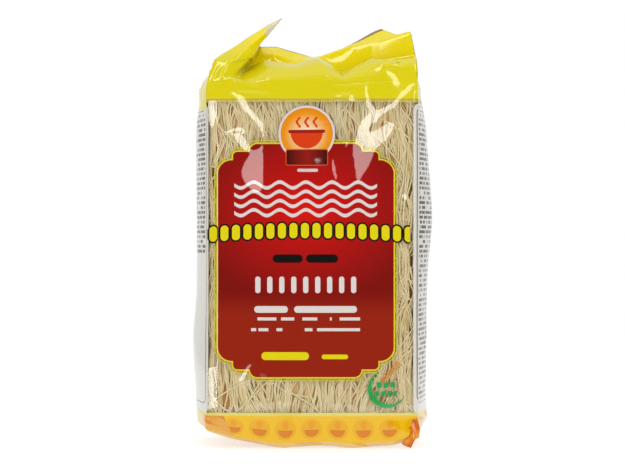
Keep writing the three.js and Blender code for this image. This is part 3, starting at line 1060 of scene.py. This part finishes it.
# A green crescent low on the right of the clear window, with two rows of plain blocks in it and an
# orange ear of grain, whose kernels lean away from its stem in pairs.
crescent_outside = oval(panel, (48.4, 39.3), CRESCENT_RADIUS, CRESCENT_RADIUS)
crescent_inside = oval(panel, (50.2, 41.1), CRESCENT_RADIUS - 0.8, CRESCENT_RADIUS - 0.8)
lay(INK_GREEN, (crescent_outside, None, 1), (crescent_inside, 1, None), cover=0.95)
for height, half, pitch, low, high in (
    (42.0, (1.5, 1.8), 4.5, 41.0, 54.5),
    (36.2, (1.2, 1.8), 3.9, 40.2, 55.8),
):
    in_block_row = node(sleeve, "CombineXYZ", X=in_row(x, pitch, low + pitch / 2), Y=w)
    lay(INK_GREEN, (rounded_box(in_block_row, (0, height), half, 0.7), None, 0), (x, low, high), cover=0.95)
turned = {"rotation_type": "Z_AXIS", "Center": (*EAR_FOOT, 0), "Angle": -math.radians(EAR_LEAN)}
along_ear = node(sleeve, "SeparateXYZ", i0=node(sleeve, "VectorRotate", turned, Vector=panel))
up_ear = node(sleeve, "Math", {"operation": "SUBTRACT", 1: EAR_FOOT[0]}, i0=along_ear)
beside_ear = away_from(along_ear.outputs[1], EAR_FOOT[1])
slope = {"operation": "MULTIPLY_ADD", 1: -0.5}
leaning = node(sleeve, "Math", slope, i0=beside_ear, i2=in_row(up_ear, 1.9, 0))
kernel = oval(node(sleeve, "CombineXYZ", X=leaning, Y=beside_ear), (0, 1.3), 0.75, 1.45)
lay(INK_EAR, (kernel, None, 1), (up_ear, -0.9, EAR_LENGTH), cover=0.9)

# The foot band: orange under a pale stripe, with a row of discs, each with a small steaming bowl.
lay(INK_BAND, at_foot, cover=0.96)
disc_at = node(sleeve, "CombineXYZ", X=in_row(x, DISC_PITCH, -0.6), Y=w)
lay(INK_BAND_DISC, (oval(disc_at, (0, 12.6), 7, 7), None, 1), at_foot, cover=0.96)
lay(INK_BAND_BOWL, (oval(disc_at, (0, 12.4), 4.9, 5.2), None, 1), (w, None, 12.2), cover=0.97)
lay(INK_BAND_STEAM, (oval(disc_at, (0, 15.6), 2.1, 2.7), None, 1), cover=0.97)

# Where the band is folded, at its left end and on the gussets, clear film lies over thin ink: peach, and
# deeper where it is doubled, in patches drawn out along the creases. Along the foot and under the bag
# the peach is paler still: painted light, which lifts the shade where the bag meets the table.
slant = {"rotation_type": "Z_AXIS", "Angle": math.radians(28)}
creased = node(sleeve, "VectorRotate", slant, Vector=on_web)
drawn_out = node(sleeve, "Mapping", {"Scale": (0.045, 0.16, 1)}, Vector=creased)
patches = node(sleeve, "TexVoronoi", {"Scale": 1.0}, Vector=drawn_out).outputs["Color"]
doubled = node(sleeve, "SeparateColor", Color=patches)
left_end = node(sleeve, "Math", {"operation": "MULTIPLY_ADD", 1: 0.36}, i0=w, i2=x)
for stops, limits, cover in (
    (INK_FOLD, [(left_end, -HALF_PANEL - 5, -50.2), at_foot], 0.85),
    (INK_GUSSET_FOOT, [(away, HALF_PANEL + 1, WEB_HALF - HALF_PANEL - 1), at_foot], 0.9),
    (INK_FOOT_PAINTED_LIGHT, [(w, None, 3.6)], 0.9),
):
    lay(node(sleeve, "ValToRGB", {"stops": stops}, Fac=doubled), *limits, cover=cover)
lay(INK_STRIPE, (w, BAND_TOP, BAND_TOP + STRIPE), cover=0.9)

# The crimped edge, where the layers lie together and look darker, and the strip's clear left tip.
lay(INK_SEAL, (w, WEB_HIGH - 1.7, PAST_EDGE), cover=0.97)
lay(INK_CLEAR_TIP, (w, WEB_HIGH - 8, PAST_EDGE), (x, -WEB_HALF / 2, -56), cover=0.85)

# ---- the film itself, biaxially drawn polypropylene: clear, with a mirror-like gloss ----

FILM_INDEX = 1.65  # above polypropylene's own 1.5, because one sheet here mirrors for both of its faces

printed = node(sleeve, "RGB")
printed.outputs[0].default_value = (0.9, 0.9, 0.9, 1)
opaque = node(sleeve, "Value")
opaque.outputs[0].default_value = 0.0
for ink, where, cover in inks:
    own = {7: linear(ink)} if isinstance(ink, str) else {}
    tone = {} if isinstance(ink, str) else {"i7": ink}
    mixed = node(sleeve, "Mix", {"data_type": "RGBA", **own}, Factor=where, i6=printed, **tone)
    printed = mixed.outputs[2]
    opaque = node(sleeve, "Mix", {"data_type": "FLOAT", 3: cover}, Factor=where, i2=opaque)

# Film is too thin to bend light, so seen from inside it mirrors no more than from outside. The Fresnel
# node turns its index over on a back face, and this turns it back.
inside = node(sleeve, "NewGeometry").outputs["Backfacing"]
index = node(sleeve, "MapRange", {3: FILM_INDEX, 4: 1 / FILM_INDEX}, Value=inside)
ink_layer = node(sleeve, "BsdfPrincipled", {"Roughness": 0.08, "IOR": 1.5}, Base_Color=printed)
see_through = node(sleeve, "BsdfTransparent", {"Color": (1, 1, 1, 1)})
gloss = node(sleeve, "BsdfGlossy", {"Color": (1, 1, 1, 1), "Roughness": 0.07})
clear = node(sleeve, "MixShader", i0=node(sleeve, "Fresnel", IOR=index), i1=see_through, i2=gloss)
film_shader = node(sleeve, "MixShader", i0=opaque, i1=clear, i2=ink_layer)
node(sleeve, "OutputMaterial", Surface=film_shader)

film = show(film_mesh, "printed_film_bag", film_material)
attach(film, "root")
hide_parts("vermicelli_bag")


# ------------------------------------------------------------------------------------------------
# The folded corner: at the lower right the gusset, still printed with the foot band's orange, was
# doubled over several times and creased, and its end sticks out in front and hangs to the table.
# ------------------------------------------------------------------------------------------------

CORNER_THICKNESS = 0.6
FOLD_TONES = ((0.35, "#BE4C02"), (0.52, "#CC6A04"), (0.68, "#D99024"))

# The outline from the upper left round, then three points along the crease in the middle: x, y, z.
corner_points = [
    (65.2, -31.4, 18.9), (68.6, -31.0, 19.4), (70.0, -31.6, 13.0), (69.6, -30.6, 7.5), (67.0, -31.2, 6.4),
    (64.2, -31.0, 0.8), (59.7, -31.2, 2.3), (57.9, -31.4, 3.8), (62.3, -32.0, 7.2), (65.0, -31.7, 14.2),
    (67.4, -32.4, 12.8), (65.6, -32.5, 7.6), (62.6, -32.3, 4.2),
]
corner_facets = [
    (0, 9, 10), (0, 10, 1), (1, 10, 2), (2, 10, 3), (9, 8, 11), (9, 11, 10), (10, 11, 3), (3, 11, 4),
    (8, 12, 11), (8, 7, 12), (7, 6, 12), (6, 5, 12), (12, 5, 4), (12, 4, 11),
]


def folded_orange_film():
    """Several layers of printed film on each other: orange, deeper and paler in patches."""
    material, tree = new_material("polypropylene_film_folded_orange")
    place = node(tree, "TexCoord").outputs["Object"]
    patchy = node(tree, "TexNoise", {"Scale": 1 / (6 * MM), "Detail": 2.0}, Vector=place)
    tones = node(tree, "ValToRGB", {"stops": FOLD_TONES}, Fac=patchy)
    shader = node(tree, "BsdfPrincipled", {"Roughness": 0.12, "IOR": 1.5}, Base_Color=tones)
    node(tree, "OutputMaterial", Surface=shader)
    return material


shape = bmesh.new()
corners = [shape.verts.new(Vector(point) * MM) for point in corner_points]
for facet in corner_facets:
    shape.faces.new([corners[i] for i in facet])
behind = bmesh.ops.extrude_face_region(shape, geom=shape.faces[:])["geom"]
behind = [part for part in behind if isinstance(part, bmesh.types.BMVert)]
bmesh.ops.translate(shape, vec=(0, CORNER_THICKNESS * MM, 0), verts=behind)
bmesh.ops.recalc_face_normals(shape, faces=shape.faces)
corner_mesh = bpy.data.meshes.new("corner")
shape.to_mesh(corner_mesh)
shape.free()
folded_corner = show(corner_mesh, "folded_corner", folded_orange_film())
corner_mesh.shade_flat()
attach(folded_corner, "root")
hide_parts("vermicelli_bag")


# ------------------------------------------------------------------------------------------------
# The studio: a white table lit from below, two narrow softboxes either side of the camera, and around
# it all a white room, of which only the ceiling and the back wall are mirrored in gloss.
# ------------------------------------------------------------------------------------------------

BAG_MIDDLE = 0.14  # metres up, where the camera and the lights point
TABLE_HALF = 0.6
TABLE_BACK = 0.39  # how far its middle lies behind the bag, so that it isn't mirrored low in the film
LIGHT_ASIDE = 0.55
LIGHT_FORWARD = 1.35

floor_mesh = bpy.data.meshes.new("floor")
shape = bmesh.new()
bmesh.ops.create_grid(shape, x_segments=1, y_segments=1, size=TABLE_HALF)
bmesh.ops.translate(shape, vec=(0, TABLE_BACK, 0), verts=shape.verts)
shape.to_mesh(floor_mesh)
shape.free()
floor_material, table = new_material("opal_acrylic_lit_from_below")
# Opal acrylic: it glows evenly, so the bag's shadow on it nearly vanishes.
lit = node(table, "BsdfDiffuse", {"Color": (0.5, 0.5, 0.5, 1)})
aglow = node(table, "Emission", {"Color": (1, 1, 1, 1), "Strength": 0.6})
node(table, "OutputMaterial", Surface=node(table, "AddShader", i0=lit, i1=aglow))
floor = show(floor_mesh, "floor", floor_material)


def softbox(name, place, width, height, power):
    """A rectangular lamp turned toward the bag. Sizes in metres, power in watts."""
    light = bpy.data.lights.new(name, "AREA")
    light.shape = "RECTANGLE"
    light.size = width
    light.size_y = height
    light.energy = power
    lamp = bpy.data.objects.new(name, light)
    bpy.context.collection.objects.link(lamp)
    lamp.location = place
    toward_bag = Vector((0, 0, BAG_MIDDLE)) - Vector(place)
    lamp.rotation_euler = toward_bag.to_track_quat("-Z", "Y").to_euler()
    return lamp


# One pair of softboxes gives the light, and a taller pair in the same place the sheen on the film.
for side, light_power, sheen_power in ((-1, 2.7, 8.0), (1, 3.3, 7.4)):
    light = softbox(f"softbox_{side}", (side * LIGHT_ASIDE, -LIGHT_FORWARD, 0.7), 0.1, 1.7, light_power)
    light.visible_glossy = False
    sheen = softbox(f"strip_light_{side}", (side * LIGHT_ASIDE, -LIGHT_FORWARD, 0.4), 0.14, 2.6, sheen_power)
    sheen.visible_diffuse = False
    sheen.data.color = (0.99, 1.0, 0.96)

room = bpy.data.worlds.new("white_room")
room.use_nodes = True
sky = room.node_tree
sky.nodes.clear()
heading = node(sky, "SeparateXYZ", i0=node(sky, "TexCoord").outputs["Generated"])
ceiling = node(sky, "MapRange", {1: 0.55, 2: 0.9, 3: 0.06, 4: 1.2}, Value=heading.outputs[2])
back_wall = node(sky, "MapRange", {1: 0.15, 2: 0.7, 3: 0.06, 4: 0.95}, Value=heading.outputs[1])
either = node(sky, "Math", {"operation": "MAXIMUM"}, i0=ceiling, i1=back_wall)
white = node(sky, "Background", {"Color": (1, 1, 1, 1), "Strength": 1.0})
mirrored = node(sky, "Background", {"Color": (1, 1, 1, 1)}, Strength=either)
rays = node(sky, "LightPath")
unseen = node(sky, "MixShader", i0=rays.outputs["Is Glossy Ray"], i1=white, i2=mirrored)
whole = node(sky, "MixShader", i0=rays.outputs["Is Camera Ray"], i1=unseen, i2=white)
node(sky, "OutputWorld", Surface=whole)
bpy.context.scene.world = room
bpy.context.scene.view_settings.view_transform = "Standard"

CAMERA_FROM_FRONT = 0.9
camera_data = bpy.data.cameras.new("camera")
camera_data.sensor_width = 36
camera_data.lens = 79.75
camera = bpy.data.objects.new("camera", camera_data)
camera.location = (0, bag_front - CAMERA_FROM_FRONT, BAG_MIDDLE)
camera.rotation_euler = (math.pi / 2, 0, 0)
bpy.context.collection.objects.link(camera)
bpy.context.scene.camera = camera
